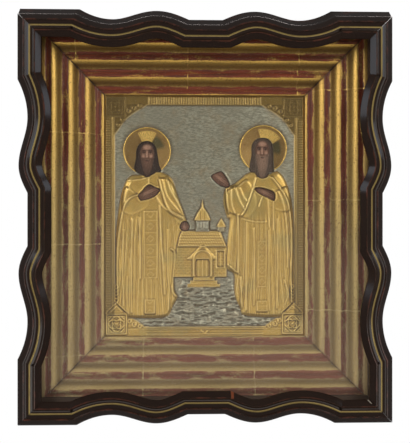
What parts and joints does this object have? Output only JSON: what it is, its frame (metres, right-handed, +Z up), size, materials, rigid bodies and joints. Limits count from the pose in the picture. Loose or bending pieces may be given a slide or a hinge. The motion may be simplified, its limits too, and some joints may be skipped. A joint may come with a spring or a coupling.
{
  "type": "icon in a glazed wall case",
  "caption": "Small icon with an embossed metal cover and halos, set in a gilded stepped moulding behind glass in a dark case with a wavy frame, for hanging on a wall.",
  "frame": {"origin": "centre of the back board's outer face, where the case lies against the wall", "axes": "+Z up, +Y from the icon into the wall, so the front looks along -Y"},
  "size_m": [0.384, 0.0904, 0.4265],
  "materials": {
    "dark_wood": "polished near-black stain with a thin gold line",
    "gilding": "worn gold leaf over red bole",
    "case_wood": "plain stained boards",
    "back_wood": "bare planed wood",
    "glass": "clear old pane",
    "painted_board": "painted gesso on wood",
    "cover_metal": "gilded and silvered embossed sheet",
    "halo_metal": "burnished gilding"
  },
  "bodies": {
    "root": {"frame_top_rail": "dark_wood", "frame_right_stile": "dark_wood", "frame_bottom_rail": "dark_wood", "frame_left_stile": "dark_wood", "gilt_top_moulding": "gilding", "gilt_right_moulding": "gilding", "gilt_bottom_moulding": "gilding", "gilt_left_moulding": "gilding", "case_top_board": "case_wood", "case_right_board": "case_wood", "case_bottom_board": "case_wood", "case_left_board": "case_wood", "back_board": "back_wood", "glass_pane": "glass", "icon_board": "painted_board", "metal_cover": "cover_metal", "halo_left": "halo_metal", "halo_right": "halo_metal"}
  },
  "joints": []
}
